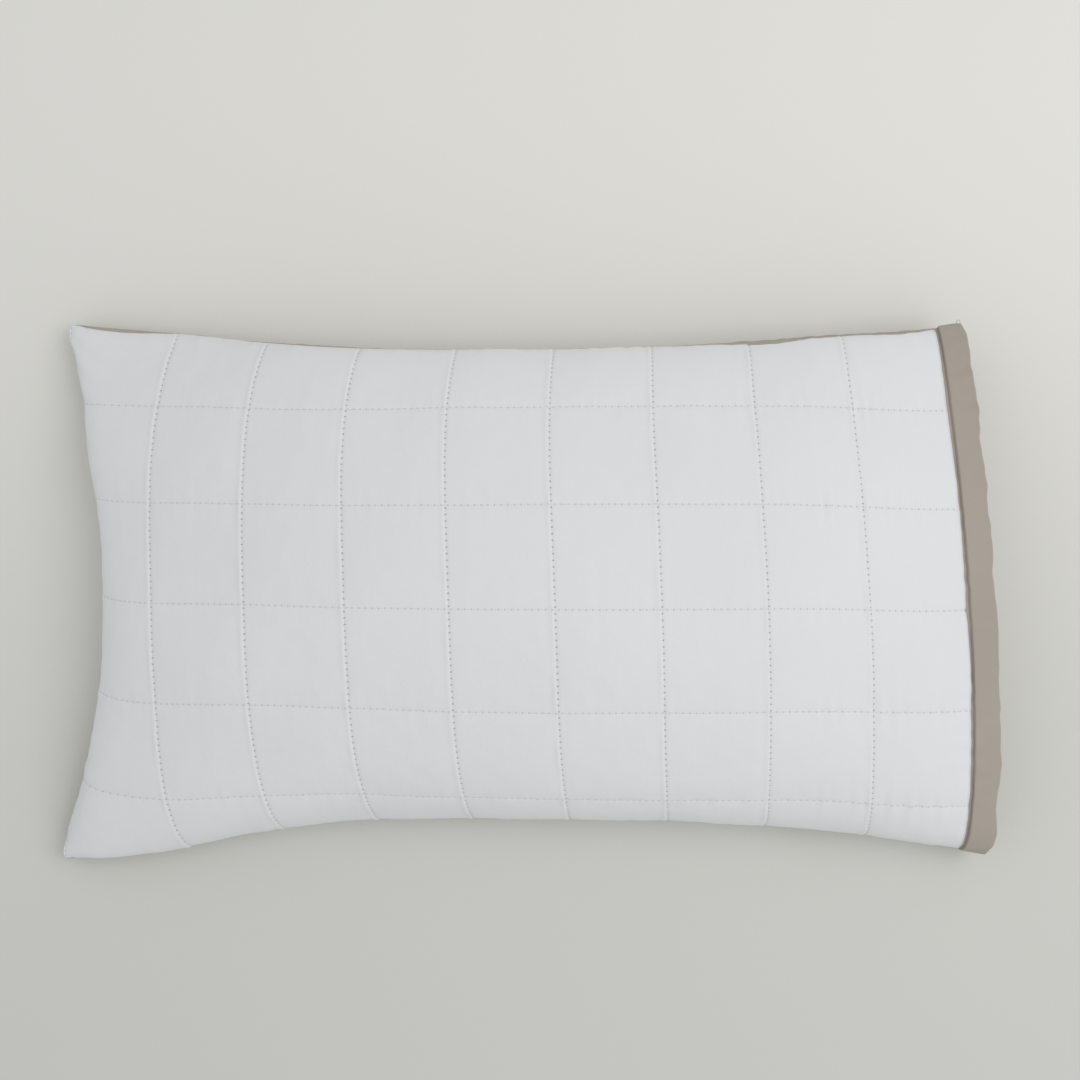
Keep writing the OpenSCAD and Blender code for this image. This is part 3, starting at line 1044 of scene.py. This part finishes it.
def row_of_stitches(fixed, length, pitch, lengthwise, fill=0.7):
    """Start and end of every stitch of one row, as flat places. fixed is the row's own u or v,
    and fill is a stitch's share of the distance between two holes."""
    holes = np.arange(pitch, length - pitch, pitch)
    a = holes + pitch * (1 - fill) / 2
    b = holes + pitch * (1 + fill) / 2
    still = np.full_like(a, fixed)
    order = 1 if lengthwise else -1
    return [np.stack([end, still][::order], -1) for end in (a, b)]


def quilting(surface):
    for name, lines, lengthwise, length in (
        ("quilting_thread_lengthwise", LONG_LINES, True, PANEL),
        ("quilting_thread_crosswise", CROSS_LINES, False, WIDTH),
    ):
        paths = []
        for line in lines:
            start, end = row_of_stitches(line, length, STITCH, lengthwise)
            paths.append(stitch_paths(surface, start, end, quilt_relief, front_place))
        tube(name, np.concatenate(paths), THREAD / 2, QUILTING)


def loose_thread(surface):
    """The end of the hem's thread, a small loop beyond the +Y corner of the mouth, as a chain
    of short pieces."""
    share = np.linspace(0, 1, 33)
    turn = share * 1.8 * np.pi
    corner = surface.at(np.array(LENGTH - 4 * MM), np.array(1.5 * MM))
    loop = [1.6 * np.sin(turn), 2.2 * (1 - np.cos(turn)) + 1.5 * share, 1.2 * share]
    points = corner + np.stack(loop, -1) * MM
    return np.array([points[n : n + 5] for n in range(0, 32, 4)])


def hem_stitching(name, surface, proud, loose):
    start, end = row_of_stitches(PANEL + HEM_SEAM, WIDTH, HEM_STITCH, False, 0.8)
    height = proud + HEM_RADIUS + HEM_T / 2 - hem_drop(HEM_SEAM) + 0.1 * MM
    paths = stitch_paths(surface, start, end, lambda u, v: np.full_like(u, height))
    if loose:
        paths = np.concatenate([paths, loose_thread(surface)])
    tube(name, paths, THREAD / 2, TAUPE_THREAD)


def overlock(name, surfaces, routes):
    """A seam allowance inside the case: a thread that winds round midway between both cloths.
    Each route gives places on the seam and the flat direction that leads inwards."""
    paths = []
    for u, v, u_in, v_in in routes:
        turn = np.arange(len(u)) * 2 * np.pi / 8
        inward = 5.5 * MM + 2.5 * MM * np.cos(turn)
        front, back = (side.at(u + u_in * inward, v + v_in * inward) for side in surfaces)
        room = np.linalg.norm(front - back, axis=-1)
        lift = np.sin(turn) * np.minimum(0.8 * MM / room, 0.2)
        paths.append(lerp(front, back, (0.5 + lift)[:, None]))
    tube(name, paths, 0.45 * MM, OVERLOCK)


def seam_overlocks(surfaces):
    u = np.linspace(50 * MM, PANEL, 2001)
    sides = [(u, 0 * u, 0, 1), (u, 0 * u + WIDTH, 0, -1)]
    overlock("side_seam_overlock", surfaces, sides)
    v = np.linspace(50 * MM, WIDTH - 50 * MM, 1301)
    overlock("closed_end_seam_overlock", surfaces, [(0 * v, v, 1, 0)])


# -------- insert

INSERT_START = 14 * MM
INSERT_END = 766 * MM
INSERT_SIDE = 14 * MM
INSERT_CLEAR = 4 * MM       # between the insert and the case
CLOSED_DENT = 22 * MM       # how far the case's seam dents in the insert's closed end
INSERT_UNEVEN = 0.9 * MM
INSERT_GATHER = 1.3 * MM
OVERCAST = 4 * MM           # pitch of the stitches round the insert
INSERT_GATHERS = [ripples(9, 15 * MM) for _ in range(4)]
INSERT_BROAD = waves(18, 60 * MM, 170 * MM)


def insert_places(rows, cols, inset=0):
    us = np.linspace(INSERT_START + inset, INSERT_END - inset, rows)
    vs = np.linspace(INSERT_SIDE + inset, WIDTH - INSERT_SIDE - inset, cols)
    return np.meshgrid(us, vs, indexing="ij")


def insert_sides(u, v):
    """Distances from the +Y side, the -Y side, the closed end's side and the mouth's side."""
    return v - INSERT_SIDE, WIDTH - INSERT_SIDE - v, u - INSERT_START, INSERT_END - u


def insert_surfaces(case_surfaces):
    """The insert's upper and lower cloth, a little inside those of the case."""
    u, v = insert_places(105, 69)
    top = case_surfaces[0].lifted(u, v, -(FRONT_T + INSERT_CLEAR))
    bottom = case_surfaces[1].lifted(u, v, -(BACK_T + INSERT_CLEAR))
    for points in (top, bottom):
        points[..., 0] += CLOSED_DENT * np.exp((INSERT_START - u) / (30 * MM))
    middle = lerp(top, bottom, 0.5)
    plus, minus, closed, mouth = insert_sides(u, v)
    ends = rise(closed / (45 * MM)) * rise(mouth / (62 * MM))
    swell = (rise(np.minimum(plus, minus) / (42 * MM)) * ends)[..., None]
    top, bottom = lerp(middle, top, swell), lerp(middle, bottom, swell)
    return Cloth(u[:, 0], v[0], top, bottom, open_mouth=False).surfaces(INSERT_CORNERS)


def insert_relief(u, v):
    sides = insert_sides(u, v)
    height = INSERT_UNEVEN * wavy(INSERT_BROAD, u, v)
    for made, distance, run in zip(INSERT_GATHERS, sides, (u, u, v, v)):
        height += gathers(made, run, distance, INSERT_GATHER, 24 * MM)
    edge = np.minimum.reduce(sides)
    return height * smooth(edge / (9 * MM)) - 1.2 * MM * bump(edge, 4 * MM)


def ticking(surfaces):
    u, v = insert_places(190, 124)
    height = insert_relief(u, v)
    for name, surface in zip(("ticking_top", "ticking_bottom"), surfaces):
        outer = surface.lifted(u, v, height)
        inner = surface.lifted(u, v, height - TICKING_T)
        piece = shell(name, outer, inner, u, v, TICKING, side=surface.side)


def fibre_fill(surfaces):
    """One lumpy closed mass just inside the ticking."""
    u, v = insert_places(90, 60, 12 * MM)
    lumps = insert_relief(u, v) * 0.5 - 3 * MM
    outer, inner = (surface.lifted(u, v, lumps) for surface in surfaces)
    piece = shell("fibre_fill", outer, inner, u, v, FIBRE)


def insert_seams(surfaces):
    """Small overcast stitches round the insert's edge."""
    count = int((INSERT_END - INSERT_START) / OVERCAST) * 8
    turn = np.linspace(0, 2 * np.pi * count / 8, count)
    us = np.linspace(INSERT_START, INSERT_END, count)
    vs = np.linspace(INSERT_SIDE, WIDTH - INSERT_SIDE, count)

    def wound(u, v, outward):
        out = outward * (0.6 * MM + 1.5 * MM * np.cos(turn))[:, None]
        out[:, 2] += 1.1 * MM * np.sin(turn)
        return (surfaces[0].at(u, v) + surfaces[1].at(u, v)) / 2 + out

    closing = wound(0 * vs + INSERT_END, vs, np.array([1.0, 0, 0]))
    others = [
        wound(us, 0 * us + INSERT_SIDE, np.array([0, 1.0, 0])),
        wound(us, 0 * us + WIDTH - INSERT_SIDE, np.array([0, -1.0, 0])),
        wound(0 * vs + INSERT_START, vs, np.array([-1.0, 0, 0])),
    ]
    tube(INSERT_SEAMS[0], others, 0.4 * MM, TICKING_THREAD)
    tube(INSERT_SEAMS[1], [closing], 0.45 * MM, TICKING_THREAD)


# -------- floor, light, camera

FLOOR_SIZE = 60
SKY = 0.675                 # strength of the even light from all round
BOX_PLACE = (1.05, 0.2, 1.75)
BOX_SIZE = (1.3, 1.3)
BOX_POWER = 10.5
LENS = 50                   # in millimetres, on a sensor 36 wide
CAMERA_PLACE = (13.5 * MM, 47 * MM, 1330 * MM)


def add_floor():
    """A plain pale floor with a painted light gradient: lighter towards +Y and a little darker on the
    -Y side.
    """
    nodes = Nodes("floor")
    split = nodes.add("ShaderNodeSeparateXYZ")
    nodes.link(nodes.position(), split.inputs[0])
    # Painted light: the floor's colour falls off from +Y to -Y, as the light does.
    across = nodes.remap(split.outputs[1], -0.42, 0.5, 0.0, 1.0)
    tone = nodes.mix(across, (0.66, 0.66, 0.625), (0.83, 0.823, 0.78))
    normal = nodes.bump(nodes.noise(30), 0.0003, 0.2)
    material = nodes.finish(tone, normal, 0.7, sheen=0.0)
    bpy.ops.mesh.primitive_plane_add(size=FLOOR_SIZE)
    floor = bpy.context.object
    floor.name = "floor"
    floor.data.materials.append(material)


def add_softbox():
    data = bpy.data.lights.new("softbox", "AREA")
    data.shape = "RECTANGLE"
    data.size, data.size_y = BOX_SIZE
    data.energy = BOX_POWER
    data.color = (1.0, 0.99, 0.97)
    lamp = add_object("softbox", data)
    lamp.location = BOX_PLACE
    aim = -mathutils.Vector(BOX_PLACE)
    lamp.rotation_euler = aim.to_track_quat("-Z", "Y").to_euler()


def add_sky():
    """Even light from all round. The camera sees it as a slightly darker grey."""
    world = bpy.data.worlds.new("studio")
    world.use_nodes = True
    tree = world.node_tree
    background = tree.nodes["Background"]
    background.inputs["Strength"].default_value = SKY
    seen = tree.nodes.new("ShaderNodeLightPath")
    tone = tree.nodes.new("ShaderNodeMix")
    tone.data_type = "RGBA"
    tone.inputs[6].default_value = (0.985, 0.99, 1.0, 1)
    tone.inputs[7].default_value = (0.67, 0.67, 0.64, 1)
    tree.links.new(seen.outputs["Is Camera Ray"], tone.inputs[0])
    tree.links.new(tone.outputs[2], background.inputs["Color"])
    bpy.context.scene.world = world


def add_camera():
    """The photograph is taken from straight above, so the camera isn't turned."""
    lens = bpy.data.cameras.new("camera")
    lens.lens = LENS
    lens.sensor_width = 36
    camera = add_object("camera", lens)
    camera.location = CAMERA_PLACE
    bpy.context.scene.camera = camera


case = simulate_case()
case_surfaces = case.surfaces(CASE_CORNERS)
face_fabric(case_surfaces[0])
wadding_and_lining(case_surfaces)
back_panel(case_surfaces)
hem("hem_band_front", case_surfaces[0], FRONT_HEM_PROUD)
hem("hem_band_back", case_surfaces[1], BACK_HEM_PROUD)
quilting(case_surfaces[0])
hem_stitching("hem_stitching_front", case_surfaces[0], FRONT_HEM_PROUD, loose=True)
hem_stitching("hem_stitching_back", case_surfaces[1], BACK_HEM_PROUD, loose=False)
seam_overlocks(case_surfaces)

insert = insert_surfaces(case_surfaces)
ticking(insert)
fibre_fill(insert)
insert_seams(insert)

add_floor()
add_sky()
add_softbox()
add_camera()
bpy.context.scene.view_settings.view_transform = "Standard"
